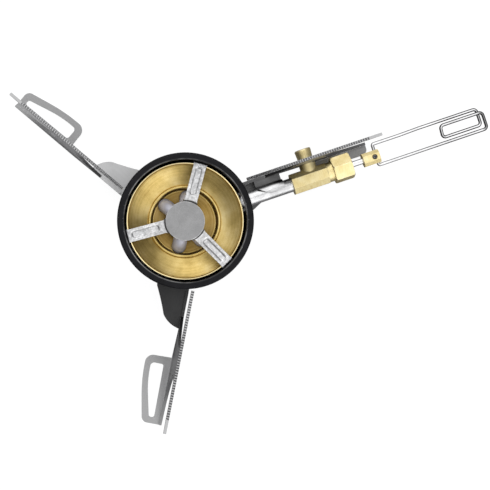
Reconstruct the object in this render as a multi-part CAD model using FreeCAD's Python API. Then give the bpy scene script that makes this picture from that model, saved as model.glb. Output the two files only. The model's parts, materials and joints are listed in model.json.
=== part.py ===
import FreeCAD, Part
import math
import os

V = FreeCAD.Vector

# Multi-fuel camping stove, millimetres, +Z up.
# While it is built the burner's axis stands at X = Y = 0 on the ground plane, and the fuel
# line runs along +X. At the end everything is moved so that the origin is the middle of the
# footprint of the whole stove, on the ground.

# Brass bowl
BOWL_RADIUS = 31.0
BOWL_SHEET = 0.8
BOWL_HEIGHT = 12.4
AIR_GAP = 4.1
WELL_RADIUS = 17.4
WELL_DEPTH = 4.4
WELL_CORNER = 1.0
WELL_BEAD = 0.7
BOWL_LIP = 1.3

# Flame spreader
SPREADER_SHEET = 1.0
DISC_RADIUS = 10.3
DISC_EDGE = 0.3
DISC_DROP = 1.4
STEP_RUN = 1.4
ARM_WIDTH = 6.8
ARM_TAB = 3.0
ARM_TAB_SHEET = 0.8
ARM_TAB_GAP = 0.1
ARM_ANGLES = (56.4, 176.4, 296.4)
GROOVE_WIDTH = 3.2
GROOVE_DEPTH = 0.5
GROOVE_TO_DISC = 3.7
GROOVE_TO_RIM = 2.4

# Black cup round the burner
CUP_SHEET = 0.8
CUP_CORNER = 2.4
CUP_TAB_GAP = 0.1
CUP_RIM_WIDTH = 3.7
CUP_RIM_OVERHANG = 1.1
CUP_RIM_HEIGHT = 2.4
CUP_RIM_ROUND = 0.9
CUP_ABOVE_BOWL = 5.7
CUP_NOTCH_WIDTH = 10.4
CUP_NOTCH_DEPTH = 5.6
AIR_HOLE_RADIUS = 3.0
AIR_HOLE_COUNT = 12
AIR_HOLE_RISE = 9.6
PAD_THICKNESS = 1.5
PAD_TO_BLOCK = 1.9
PAD_EDGE_GAP = 1.3
CUP_RIM_IN = BOWL_RADIUS + ARM_TAB_GAP + ARM_TAB_SHEET + CUP_TAB_GAP
CUP_RIM_OUT = CUP_RIM_IN + CUP_RIM_WIDTH
CUP_RADIUS = CUP_RIM_OUT - CUP_RIM_OVERHANG

# Legs: three folded sheets, each with a toothed rail, an upright web, a pivot plate and a foot
SHEET = 1.5
POT_HEIGHT = 66.0
BLADE_SIDE = 9.6
LEFT_LEG_ANGLE = 121.0
RIGHT_LEG_ANGLE = -120.0
RAIL_OVER_CUP = 0.7
RAIL_LENGTH = 73.4
RAIL_DEPTH = 4.0
RAIL_PLAIN_END = 6.0
RAIL_TAPER = 1.6
TOOTH_PITCH = 1.3
TOOTH_DEPTH = 0.5
TOOTH_TIP = 0.35
TOOTH_ROOT = 0.1
WEB_TO_CUP = 1.8
WEB_TOP_FROM_RAIL = 29.0
WEB_TOP_LENGTH = 19.0
WEB_LIP = 3.0
WEB_LIP_LENGTH = 13.6
CLIP_LIP = 8.0
NECK_IN = 4.5
NECK_IN_RISE = 14.0
NECK_OUT = 5.0
NECK_OUT_RISE = 17.0
WING_LENGTH = 20.6
WING_TIP_DROP = 11.0
WING_MOUTH = 7.2
HUB_RADIUS = 13.0
FOOT_FROM_RAIL = 38.5
FOOT_LENGTH = 37.3
FOOT_REACH = 14.8
FOOT_END_REACH = 10.2
FOOT_STRAIGHT = 14.5
FOOT_CORNER = 4.5
FOOT_CURVE = 90.0
FOOT_BAND = 3.3
FOOT_HEEL_BAND = 4.3
FOOT_INNER_BAND = 4.4
SLOT_RADIUS = 1.3
SLOT_CURVE = 60.0
NARROW_FOOT_REACH = 5.8
BEND_RADIUS = 1.3

# Pivot under the burner
HUB_LIFT = 2.4
BOLT_HEAD = 3.0
BOLT_HEAD_FLATS = 13.0
PIVOT_RADIUS = 4.0
SPRING_HEIGHT = 0.8
SPRING_SHEET = 0.5
SPRING_RADIUS = 7.5
SPACER = 0.3
SPACER_RADIUS = 8.0
RUNNING_GAP = 0.05
STATIC_GAP = 0.02

# Vaporiser block, jet and mixing tube
BLOCK_RADIUS = 17.6
BLOCK_HEIGHT = 8.0
BOSS_RADIUS = 7.0
BOSS_HEIGHT = 1.6
BOLT_THREAD = 3.5
SOCKET_DEPTH = 1.5
RECESS_DEPTH = 0.8
JET_THREAD_RADIUS = 2.95
JET_THREAD = 2.4
JET_FLATS = 6.5
JET_HEAD = 2.4
JET_BORE = 0.9
JET_ORIFICE = 0.3
GALLERY_RADIUS = 1.2
MIXER_RADIUS = 6.2
MIXER_WALL = 1.0
MIXER_FLANGE = 7.8
MIXER_FLANGE_HEIGHT = 0.6
MIXER_TOP = 2.0
AIR_WINDOW_WIDTH = 5.0
AIR_WINDOW_EDGE = 0.4
RING_NUT_FLATS = 15.0
RING_NUT_HEIGHT = 1.4
RING_NUT_TURN = 30.0

# Vaporiser: two crossed tubes arched under the spreader
ARCH_RADIUS = 3.7
ARCH_BORE = 2.6
ARCH_BEND = 5.5
ARCH_LEFT_X = -7.0
ARCH_LEFT_HALF = 11.4
ARCH_RIGHT_X = 5.3
ARCH_RIGHT_HALF = 11.9
ARCH_GAP = 0.1
ARCH_HOLE_GAP = 0.15

# Fuel line and valve
FUEL_Y = 0.5
TUBE_RADIUS = 3.8
TUBE_BORE = 2.9
SPIGOT_RADIUS = 3.0
SPIGOT_BORE = 1.7
SPIGOT_LENGTH = 5.5
TUBE_SHOULDER_GAP = 0.3
TUBE_STEP = 1.2
FILTER_CLEARANCE = 0.25
BODY_TO_CUP = 26.7
BODY_LENGTH = 20.2
BODY_WIDTH = 11.2
BODY_CHAMFER = 3.0
TUBE_SOCKET = 4.0
SHOULDER_LENGTH = 3.3
SHOULDER_RADIUS = 5.4
NECK_LENGTH = 6.2
NECK_RADIUS = 4.6
SEAT_RADIUS = 1.1
SEAT_LENGTH = 4.0
CHAMBER_RADIUS = 2.6
PORT_ALONG_BODY = 11.4
PORT_RADIUS = 4.5
PORT_ROOT_RADIUS = 4.1
PORT_LENGTH = 6.65
PORT_BORE = 2.5
PORT_BORE_LENGTH = 6.8
PORT_SPIGOT = 3.0
PORT_DEPTH = 6.2
PORT_CHAMFER = 0.5
BOSS_WALL = 1.6
GASKET_SHEET = 0.6
STRAINER_RADIUS = 1.9
STRAINER_LENGTH = 1.9
NUT_FLATS = 13.0
NUT_LENGTH = 10.7
NUT_WALL = 1.2
NUT_TURN = 49.0
PACKING_WASHER = 0.8
SPINDLE_RADIUS = 1.6
SPINDLE_THREAD = 8.0
THREAD_AFTER_SEAT = 6.8
NEEDLE_TIP = 0.3
NEEDLE_LENGTH = 2.0
O_RING_SECTION = 0.9
COLLAR_LENGTH = 0.8
GRIP_GAP = 6.9
GRIP_LENGTH = 9.4
GRIP_WIDTH = 7.3
GRIP_CHAMFER = 1.8
GRIP_END_WALL = 1.3
PIN_ALONG_GRIP = 6.4
PIN_RADIUS = 1.0
PIN_BORE = 0.55
PIN_SLIT = 0.3
PIN_PROUD = 0.25
PIN_SINK = 0.5

# Wire handle, hinged in the grip block's sides
WIRE_RADIUS = 0.9
HINGE_ALONG_GRIP = 7.7
PEG_DEPTH = 1.6
WIRE_LENGTH = 64.2
WIRE_WIDEN = 15.8
WIRE_UPPER = 7.0
WIRE_UPPER_TIP = 7.3
WIRE_LOWER = 4.9
COIL_LENGTH = 25.5
COIL_UPPER = 4.6
COIL_LOWER = 2.0
COIL_LIFT = 2.1
WIRE_CORNER = 1.9

# Clip that ties the fuel tube to the fixed leg
CLIP_SHEET = 1.0
CLIP_LENGTH = 14.6
CLIP_TO_BODY = 4.4
CLIP_WRAP_START = -60.0
CLIP_WRAP_END = 100.0
CLIP_WEB_DROP = 3.5
CLIP_LIFT = 0.8
RIVET_RADIUS = 1.2
RIVET_HEAD_RADIUS = 2.0
RIVET_HEAD = 0.6
RIVET_INSET = 3.2
RIVET_DROP = 4.4

# Heights that follow from the stack on the pivot bolt
SPRING_Z = HUB_LIFT + BOLT_HEAD
LEFT_PLATE_Z = SPRING_Z + SPRING_HEIGHT
FIXED_PLATE_Z = LEFT_PLATE_Z + SHEET + SPACER
RIGHT_PLATE_Z = FIXED_PLATE_Z + SHEET + SPACER
CUP_Z = RIGHT_PLATE_Z + SHEET + SPACER
CUP_FLOOR_TOP = CUP_Z + CUP_SHEET
BLOCK_Z = CUP_FLOOR_TOP + BOSS_HEIGHT
BLOCK_TOP = BLOCK_Z + BLOCK_HEIGHT
FUEL_Z = BLOCK_Z + BLOCK_HEIGHT / 2
BOWL_Z = BLOCK_TOP + AIR_GAP
BOWL_FLOOR_TOP = BOWL_Z + BOWL_SHEET
BOWL_TOP = BOWL_Z + BOWL_HEIGHT
CUP_TOP = BOWL_TOP + CUP_ABOVE_BOWL
ARM_TOP = BOWL_TOP + SPREADER_SHEET
DISC_TOP = ARM_TOP - DISC_DROP
DISC_BOTTOM = DISC_TOP - SPREADER_SHEET
ARCH_Z = DISC_BOTTOM - ARCH_GAP - ARCH_RADIUS

# Places along the legs and the fuel line that follow from the lengths
RAIL_START = CUP_RIM_OUT - RAIL_OVER_CUP
RAIL_END = RAIL_START + RAIL_LENGTH
WEB_START = CUP_RADIUS + WEB_TO_CUP
WEB_TOP_START = RAIL_START + WEB_TOP_FROM_RAIL
WEB_TOP_END = WEB_TOP_START + WEB_TOP_LENGTH
WING_END = WEB_START + WING_LENGTH
FOOT_START = RAIL_START + FOOT_FROM_RAIL
FOOT_END = FOOT_START + FOOT_LENGTH
BODY_START = CUP_RIM_OUT + BODY_TO_CUP
SPIGOT_START = BLOCK_RADIUS - SPIGOT_LENGTH
TUBE_SHOULDER = BLOCK_RADIUS + TUBE_SHOULDER_GAP
BODY_END = BODY_START + BODY_LENGTH
SHOULDER_END = BODY_END + SHOULDER_LENGTH
NECK_END = SHOULDER_END + NECK_LENGTH
SEAT_END = BODY_START + TUBE_SOCKET + SEAT_LENGTH
PORT_X = BODY_START + PORT_ALONG_BODY
NUT_START = SHOULDER_END + STATIC_GAP
NUT_END = NUT_START + NUT_LENGTH
GRIP_START = NUT_END + GRIP_GAP
GRIP_END = GRIP_START + GRIP_LENGTH
PIN_X = GRIP_START + PIN_ALONG_GRIP
HINGE_X = GRIP_START + HINGE_ALONG_GRIP
THREAD_START = SEAT_END + THREAD_AFTER_SEAT
THREAD_END = THREAD_START + SPINDLE_THREAD
O_RING_X = THREAD_END + O_RING_SECTION / 2 + RUNNING_GAP
COLLAR_X = O_RING_X + O_RING_SECTION / 2 + RUNNING_GAP
CLIP_END = BODY_START - CLIP_TO_BODY
CLIP_START = CLIP_END - CLIP_LENGTH
BLADE_INNER = BLADE_SIDE - SHEET / 2
BLADE_OUTER = BLADE_SIDE + SHEET / 2
PORT_END = BLADE_OUTER + PORT_LENGTH
FUEL_AXIS = V(0, FUEL_Y, FUEL_Z)


def corner(before, at, after, radius):
    """Start, middle and end of the arc that rounds the corner at `at`."""
    back = (before - at).normalize()
    ahead = (after - at).normalize()
    half = back.getAngle(ahead) / 2
    cut = radius / math.tan(half)
    middle = (back + ahead).normalize() * (radius / math.sin(half) - radius)
    return at + back * cut, at + middle, at + ahead * cut


def rounded_loop(points, radii):
    """Closed wire through the points, each corner rounded by its radius."""
    count = len(points)
    arcs = []
    for i in range(count):
        arcs.append(corner(points[i - 1], points[i], points[(i + 1) % count], radii[i]))
    edges = []
    for i in range(count):
        start, middle, end = arcs[i]
        edges.append(Part.Arc(start, middle, end).toShape())
        edges.append(Part.makeLine(end, arcs[(i + 1) % count][0]))
    return Part.Wire(edges)


def rounded_path(points, radius):
    """Open wire through the points with every inner corner rounded."""
    edges = []
    last = points[0]
    for i in range(1, len(points) - 1):
        start, middle, end = corner(points[i - 1], points[i], points[i + 1], radius)
        edges.append(Part.makeLine(last, start))
        edges.append(Part.Arc(start, middle, end).toShape())
        last = end
    edges.append(Part.makeLine(last, points[-1]))
    return Part.Wire(edges)


def outline(start, *steps):
    """Closed face: a step is a point for a line, or a (middle, end) pair for an arc."""
    edges = []
    last = start
    for step in steps:
        if isinstance(step, tuple):
            edges.append(Part.Arc(last, step[0], step[1]).toShape())
            last = step[1]
        else:
            edges.append(Part.makeLine(last, step))
            last = step
    if not last.isEqual(start, 1e-6):
        edges.append(Part.makeLine(last, start))
    return Part.Face(Part.Wire(edges))


def polygon(points):
    return Part.Face(Part.makePolygon(points + [points[0]]))


def spun(face):
    """Turn a face in the XZ plane round the burner's axis."""
    return face.revolve(V(0, 0, 0), V(0, 0, 1), 360)


def disc(radius, bottom, top):
    return Part.makeCylinder(radius, top - bottom, V(0, 0, bottom))


def ring(inner, outer, bottom, top):
    return disc(outer, bottom, top).cut(disc(inner, bottom, top))


def rod(radius, start, end):
    """Cylinder along the fuel line's axis."""
    return Part.makeCylinder(radius, end - start, FUEL_AXIS + V(start, 0, 0), V(1, 0, 0))


def hexagon(flats, height, centre, turn=0.0):
    """Hexagonal prism standing on Z."""
    points = []
    for i in range(6):
        angle = math.radians(60 * i + turn)
        points.append(centre + V(math.cos(angle), math.sin(angle), 0) * (flats / math.sqrt(3)))
    return polygon(points).extrude(V(0, 0, height))


def swept(wire, radius):
    """Round bar along a wire."""
    start = wire.Edges[0].Vertexes[0].Point
    tangent = wire.Edges[0].tangentAt(wire.Edges[0].FirstParameter)
    section = Part.Wire(Part.Circle(start, tangent, radius).toShape())
    return wire.makePipeShell([section], True, False)


def turned(shape, angle):
    copy = shape.copy()
    copy.rotate(V(0, 0, 0), V(0, 0, 1), angle)
    return copy


def leg_rail():
    """Toothed strip that carries the pot, with a plain tapered outer end."""
    root = POT_HEIGHT - TOOTH_DEPTH
    bottom = POT_HEIGHT - RAIL_DEPTH
    flank = (TOOTH_PITCH - TOOTH_TIP - TOOTH_ROOT) / 2
    count = int((RAIL_END - RAIL_PLAIN_END - RAIL_START) / TOOTH_PITCH)
    points = [V(RAIL_START, 0, bottom + RAIL_TAPER)]
    for i in range(count):
        tooth = RAIL_START + i * TOOTH_PITCH
        points.append(V(tooth, 0, POT_HEIGHT))
        points.append(V(tooth + TOOTH_TIP, 0, POT_HEIGHT))
        points.append(V(tooth + TOOTH_TIP + flank, 0, root))
        points.append(V(tooth + TOOTH_TIP + flank + TOOTH_ROOT, 0, root))
    points.append(V(RAIL_START + count * TOOTH_PITCH, 0, POT_HEIGHT))
    points.append(V(RAIL_END, 0, POT_HEIGHT))
    points.append(V(RAIL_END, 0, bottom + RAIL_TAPER))
    points.append(V(RAIL_END - RAIL_PLAIN_END, 0, bottom))
    points.append(V(RAIL_START + RAIL_PLAIN_END, 0, bottom))
    return polygon(points).extrude(V(0, SHEET, 0))


def leg_web(plate_z, lip):
    """Upright sheet that narrows to a neck under the rail, hollowed on both sides."""
    top = POT_HEIGHT - RAIL_DEPTH / 2
    lip_z = plate_z + lip
    return outline(
        V(WEB_START, 0, plate_z),
        V(WEB_START, 0, lip_z),
        V(WEB_START + WEB_LIP_LENGTH, 0, lip_z),
        (V(WEB_TOP_START - NECK_IN, 0, lip_z + NECK_IN_RISE), V(WEB_TOP_START, 0, top)),
        V(WEB_TOP_END, 0, top),
        (V(WEB_TOP_END + NECK_OUT, 0, WEB_LIP + NECK_OUT_RISE), V(FOOT_END, 0, WEB_LIP)),
        V(FOOT_END, 0, 0),
        V(FOOT_START - 1.0, 0, 0),
        V(WING_END, 0, plate_z),
    ).extrude(V(0, SHEET, 0))


def leg_wing(plate_z, hole):
    """Flat plate from the pivot to the bend under the web."""
    mouth = BLADE_SIDE - WEB_START / 2
    tip = V(WING_END - 1.2, BLADE_SIDE - 4.1, plate_z)
    shoulder = V(WING_END - 6.2, BLADE_SIDE - WING_TIP_DROP + 0.8, plate_z)
    flank = V((shoulder.x + WEB_START) / 2, (shoulder.y - WING_MOUTH) / 2 + 0.4, plate_z)
    face = outline(
        V(0, HUB_RADIUS, plate_z),
        V(WEB_START - 2.0, BLADE_OUTER, plate_z),
        V(WING_END, BLADE_OUTER, plate_z),
        (tip, shoulder),
        (flank, V(WEB_START - 0.5, -WING_MOUTH, plate_z)),
        V(HUB_RADIUS * 0.2, -HUB_RADIUS * 0.98, plate_z),
        (V(-HUB_RADIUS, 0, plate_z), V(0, HUB_RADIUS, plate_z)),
    )
    plate = face.extrude(V(0, 0, SHEET))
    return plate.cut(disc(hole, plate_z, plate_z + SHEET))


def loop_foot():
    """D-shaped foot with a long slot, flat on the ground."""
    far = BLADE_SIDE - FOOT_REACH
    far_end = BLADE_SIDE - FOOT_END_REACH
    edge = rounded_loop([
        V(FOOT_START, BLADE_OUTER, 0),
        V(FOOT_START + 0.4, far, 0),
        V(FOOT_START + FOOT_STRAIGHT, far, 0),
        V(FOOT_END, far_end, 0),
        V(FOOT_END, BLADE_OUTER, 0),
    ], [0.2, FOOT_CORNER, FOOT_CURVE, FOOT_BAND, 0.2])
    slot = rounded_loop([
        V(FOOT_START + FOOT_HEEL_BAND, BLADE_SIDE - FOOT_INNER_BAND, 0),
        V(FOOT_START + FOOT_HEEL_BAND, far + FOOT_BAND, 0),
        V(FOOT_START + FOOT_STRAIGHT, far + FOOT_BAND, 0),
        V(FOOT_END - FOOT_BAND, far_end + FOOT_BAND, 0),
        V(FOOT_END - FOOT_BAND, BLADE_SIDE - FOOT_INNER_BAND + 0.4, 0),
    ], [SLOT_RADIUS, SLOT_RADIUS * 1.6, SLOT_CURVE, SLOT_RADIUS, SLOT_RADIUS])
    plate = Part.Face(edge).extrude(V(0, 0, SHEET))
    return plate.cut(Part.Face(slot).extrude(V(0, 0, SHEET)))


def narrow_foot():
    """Plain strip foot of the fixed leg, under the valve."""
    inner = BLADE_SIDE - NARROW_FOOT_REACH
    edge = rounded_loop([
        V(FOOT_START, BLADE_OUTER, 0),
        V(FOOT_START, inner, 0),
        V(FOOT_END, inner, 0),
        V(FOOT_END, BLADE_OUTER, 0),
    ], [0.2, FOOT_BAND, FOOT_BAND, 0.2])
    return Part.Face(edge).extrude(V(0, 0, SHEET))


def round_bends(leg, plate_z):
    """Round the outside of the two folds of the sheet."""
    folds = []
    for edge in leg.Edges:
        ends = [vertex.Point for vertex in edge.Vertexes]
        if len(ends) != 2 or edge.Length < FOOT_END - FOOT_START - 4 * FOOT_BAND:
            if len(ends) != 2 or edge.Length < WING_END - WEB_START - 1.0:
                continue
        on_side = all(abs(point.y - BLADE_OUTER) < 0.01 for point in ends)
        low = all(abs(point.z) < 0.01 for point in ends)
        on_plate = all(abs(point.z - plate_z) < 0.01 for point in ends)
        if on_side and (low or on_plate):
            folds.append(edge)
    return leg.makeFillet(BEND_RADIUS, folds)


def leg(plate_z, hole, foot, lip):
    upright = leg_rail().fuse(leg_web(plate_z, lip)).removeSplitter()
    upright.translate(V(0, BLADE_INNER, 0))
    sheet = upright.multiFuse([leg_wing(plate_z, hole), foot]).removeSplitter()
    return round_bends(sheet, plate_z)


def left_leg():
    sheet = leg(LEFT_PLATE_Z, PIVOT_RADIUS + RUNNING_GAP, loop_foot(), WEB_LIP)
    return turned(sheet, LEFT_LEG_ANGLE)


def right_leg():
    sheet = leg(RIGHT_PLATE_Z, PIVOT_RADIUS + RUNNING_GAP, loop_foot(), WEB_LIP)
    return turned(sheet, RIGHT_LEG_ANGLE)


def rivet_spots():
    height = FIXED_PLATE_Z + RIVET_DROP
    return [V(CLIP_START + RIVET_INSET, 0, height), V(CLIP_END - RIVET_INSET, 0, height)]


def fixed_leg():
    sheet = leg(FIXED_PLATE_Z, PIVOT_RADIUS + STATIC_GAP, narrow_foot(), CLIP_LIP)
    for spot in rivet_spots():
        start = spot + V(0, BLADE_INNER, 0)
        sheet = sheet.cut(Part.makeCylinder(RIVET_RADIUS + STATIC_GAP, SHEET, start, V(0, 1, 0)))
    port_hole = Part.makeCylinder(PORT_SPIGOT + STATIC_GAP, SHEET, V(PORT_X, BLADE_INNER, FUEL_Z),
                                  V(0, 1, 0))
    return sheet.cut(port_hole)


def pivot_bolt():
    head = hexagon(BOLT_HEAD_FLATS, BOLT_HEAD, V(0, 0, HUB_LIFT))
    dome = Part.makeCone(BOLT_HEAD_FLATS * 0.47, BOLT_HEAD_FLATS, BOLT_HEAD_FLATS, V(0, 0, HUB_LIFT))
    head = head.common(dome)
    return head.fuse(disc(PIVOT_RADIUS, SPRING_Z, CUP_FLOOR_TOP + BOLT_THREAD))


def pivot_spring():
    """Coned spring washer that keeps the folding legs stiff."""
    inner = PIVOT_RADIUS + RUNNING_GAP
    top = SPRING_Z + SPRING_HEIGHT
    return spun(polygon([
        V(inner, 0, top - SPRING_SHEET),
        V(SPRING_RADIUS - 0.9, 0, SPRING_Z),
        V(SPRING_RADIUS, 0, SPRING_Z),
        V(SPRING_RADIUS, 0, SPRING_Z + SPRING_SHEET),
        V(inner + 0.9, 0, top),
        V(inner, 0, top),
    ]))


def pivot_spacers():
    inner = PIVOT_RADIUS + RUNNING_GAP
    levels = [LEFT_PLATE_Z + SHEET, FIXED_PLATE_Z + SHEET, RIGHT_PLATE_Z + SHEET]
    return Part.makeCompound([ring(inner, SPACER_RADIUS, z, z + SPACER) for z in levels])


def burner_cup():
    inner = CUP_RADIUS - CUP_SHEET
    rim_low = CUP_TOP - CUP_RIM_HEIGHT
    round_off = CUP_RIM_ROUND
    slant = round_off * (1 - math.sqrt(0.5))
    bend = CUP_CORNER * (1 - math.sqrt(0.5))
    inner_corner = CUP_CORNER - CUP_SHEET
    inner_bend = inner_corner * (1 - math.sqrt(0.5))
    shell = spun(outline(
        V(PIVOT_RADIUS + STATIC_GAP, 0, CUP_Z),
        V(CUP_RADIUS - CUP_CORNER, 0, CUP_Z),
        (V(CUP_RADIUS - bend, 0, CUP_Z + bend), V(CUP_RADIUS, 0, CUP_Z + CUP_CORNER)),
        V(CUP_RADIUS, 0, rim_low),
        V(CUP_RIM_OUT, 0, rim_low),
        V(CUP_RIM_OUT, 0, CUP_TOP - round_off),
        (V(CUP_RIM_OUT - slant, 0, CUP_TOP - slant), V(CUP_RIM_OUT - round_off, 0, CUP_TOP)),
        V(CUP_RIM_IN + round_off, 0, CUP_TOP),
        (V(CUP_RIM_IN + slant, 0, CUP_TOP - slant), V(CUP_RIM_IN, 0, CUP_TOP - round_off)),
        V(CUP_RIM_IN, 0, rim_low),
        V(inner, 0, rim_low),
        V(inner, 0, CUP_FLOOR_TOP + inner_corner),
        (V(inner - inner_bend, 0, CUP_FLOOR_TOP + inner_bend),
         V(inner - inner_corner, 0, CUP_FLOOR_TOP)),
        V(PIVOT_RADIUS + STATIC_GAP, 0, CUP_FLOOR_TOP),
    ))
    return shell.cut(fuel_notch()).cut(air_holes())


def fuel_notch():
    """Slot in the wall and floor edge where the fuel tube comes in."""
    half = CUP_NOTCH_WIDTH / 2
    top = CUP_TOP - CUP_RIM_HEIGHT - half
    start = CUP_RADIUS - CUP_NOTCH_DEPTH
    block = Part.makeBox(CUP_NOTCH_DEPTH * 2, CUP_NOTCH_WIDTH, top - CUP_Z + 1,
                         V(start, FUEL_Y - half, CUP_Z - 1))
    arch = Part.makeCylinder(half - 1.0, CUP_NOTCH_DEPTH * 2, V(start, FUEL_Y, top), V(1, 0, 0))
    return block.fuse(arch)


def air_holes():
    height = CUP_FLOOR_TOP + AIR_HOLE_RISE
    holes = []
    for i in range(1, AIR_HOLE_COUNT):
        hole = Part.makeCylinder(AIR_HOLE_RADIUS, CUP_NOTCH_DEPTH,
                                 V(CUP_RADIUS - CUP_NOTCH_DEPTH / 2, 0, height), V(1, 0, 0))
        holes.append(turned(hole, i * 360 / AIR_HOLE_COUNT))
    return Part.makeCompound(holes)


def priming_pad():
    top = CUP_FLOOR_TOP + PAD_THICKNESS
    outer = CUP_RADIUS - CUP_CORNER - PAD_EDGE_GAP
    pad = ring(BLOCK_RADIUS + PAD_TO_BLOCK, outer, CUP_FLOOR_TOP, top)
    gap = Part.makeBox(CUP_RADIUS, CUP_NOTCH_WIDTH, PAD_THICKNESS,
                       V(0, FUEL_Y - CUP_NOTCH_WIDTH / 2, CUP_FLOOR_TOP))
    return pad.cut(gap)


def arch_feet():
    """Plan positions of the upright ends of the two vaporiser arches, a pair for each arch."""
    left_back = V(ARCH_LEFT_X, ARCH_LEFT_HALF, 0)
    left_front = V(ARCH_LEFT_X, -ARCH_LEFT_HALF, 0)
    right_back = V(ARCH_RIGHT_X, ARCH_RIGHT_HALF, 0)
    right_front = V(ARCH_RIGHT_X, -ARCH_RIGHT_HALF, 0)
    return [left_back, right_front, left_front, right_back]


def vaporiser_block():
    """Brass block that feeds the vaporiser and the jet."""
    body = disc(BLOCK_RADIUS, BLOCK_Z, BLOCK_TOP).fuse(disc(BOSS_RADIUS, CUP_FLOOR_TOP, BLOCK_Z))
    cuts = [
        disc(PIVOT_RADIUS + STATIC_GAP, CUP_FLOOR_TOP, CUP_FLOOR_TOP + BOLT_THREAD),
        disc(MIXER_RADIUS + STATIC_GAP, BLOCK_TOP - RECESS_DEPTH, BLOCK_TOP),
        disc(JET_THREAD_RADIUS + STATIC_GAP, BLOCK_TOP - RECESS_DEPTH - JET_THREAD, BLOCK_TOP),
        rod(GALLERY_RADIUS, 0, BLOCK_RADIUS),
        rod(SPIGOT_RADIUS + STATIC_GAP, SPIGOT_START, BLOCK_RADIUS),
    ]
    for foot in arch_feet():
        base = foot + V(0, 0, BLOCK_TOP - SOCKET_DEPTH)
        cuts.append(Part.makeCylinder(ARCH_RADIUS + STATIC_GAP, SOCKET_DEPTH, base))
    for cut in cuts:
        body = body.cut(cut)
    return body


def jet_nozzle():
    seat = BLOCK_TOP - RECESS_DEPTH
    low = seat - JET_THREAD
    head = hexagon(JET_FLATS, JET_HEAD, V(0, 0, seat))
    jet = head.fuse(disc(JET_THREAD_RADIUS, low, seat))
    jet = jet.cut(disc(JET_BORE, low, seat + JET_HEAD - 0.8))
    return jet.cut(disc(JET_ORIFICE, low, seat + JET_HEAD))


def mixing_tube():
    """Short tube over the jet, open at its sides for air."""
    low = BLOCK_TOP - RECESS_DEPTH
    flange_low = BOWL_Z - MIXER_FLANGE_HEIGHT
    tube = disc(MIXER_RADIUS, low, BOWL_FLOOR_TOP + MIXER_TOP)
    tube = tube.fuse(disc(MIXER_FLANGE, flange_low, BOWL_Z))
    tube = tube.cut(disc(MIXER_RADIUS - MIXER_WALL, low, BOWL_FLOOR_TOP + MIXER_TOP))
    sill = BLOCK_TOP + AIR_WINDOW_EDGE
    height = flange_low - AIR_WINDOW_EDGE - sill
    window = Part.makeBox(3 * MIXER_RADIUS, AIR_WINDOW_WIDTH, height,
                          V(-1.5 * MIXER_RADIUS, -AIR_WINDOW_WIDTH / 2, sill))
    return tube.cut(window).cut(turned(window, 90))


def bowl_ring_nut():
    nut = hexagon(RING_NUT_FLATS, RING_NUT_HEIGHT, V(0, 0, BOWL_FLOOR_TOP), RING_NUT_TURN)
    return nut.cut(disc(MIXER_RADIUS + STATIC_GAP, BOWL_FLOOR_TOP, BOWL_FLOOR_TOP + RING_NUT_HEIGHT))


def burner_bowl():
    """Spun brass dish with a straight-sided well in the middle."""
    hole = MIXER_RADIUS + STATIC_GAP
    well = WELL_RADIUS
    wall = BOWL_SHEET
    edge = BOWL_FLOOR_TOP + WELL_DEPTH
    bend = WELL_CORNER * (1 - math.sqrt(0.5))
    outer_corner = WELL_CORNER + wall
    outer_bend = outer_corner * (1 - math.sqrt(0.5))
    bead = edge + WELL_BEAD
    dish_start = well + 3 * WELL_BEAD
    lip = BOWL_RADIUS - BOWL_LIP
    lip_low = BOWL_TOP - BOWL_LIP
    middle = (dish_start + lip) / 2
    dish_middle = (edge + lip_low) / 2 - 0.6
    bowl = spun(outline(
        V(hole, 0, BOWL_Z),
        V(well + wall - outer_corner, 0, BOWL_Z),
        (V(well + wall - outer_bend, 0, BOWL_Z + outer_bend), V(well + wall, 0, BOWL_Z + outer_corner)),
        V(well + wall, 0, edge - wall),
        V(dish_start, 0, edge - wall),
        (V(middle + 0.3, 0, dish_middle - wall), V(lip + 0.4, 0, lip_low - wall)),
        V(BOWL_RADIUS - 0.3, 0, lip_low - 0.2),
        (V(BOWL_RADIUS, 0, BOWL_TOP - 0.6), V(BOWL_RADIUS - 0.35, 0, BOWL_TOP)),
        V(BOWL_RADIUS - 0.9, 0, BOWL_TOP),
        V(lip, 0, lip_low),
        (V(middle, 0, dish_middle), V(dish_start, 0, edge)),
        (V(well + 1.5 * WELL_BEAD, 0, bead), V(well, 0, edge)),
        V(well, 0, BOWL_FLOOR_TOP + WELL_CORNER),
        (V(well - bend, 0, BOWL_FLOOR_TOP + bend), V(well - WELL_CORNER, 0, BOWL_FLOOR_TOP)),
        V(hole, 0, BOWL_FLOOR_TOP),
    ))
    for foot in arch_feet():
        base = foot + V(0, 0, BOWL_Z - wall)
        bowl = bowl.cut(Part.makeCylinder(ARCH_RADIUS + ARCH_HOLE_GAP, 3 * wall, base))
    return bowl


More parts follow.
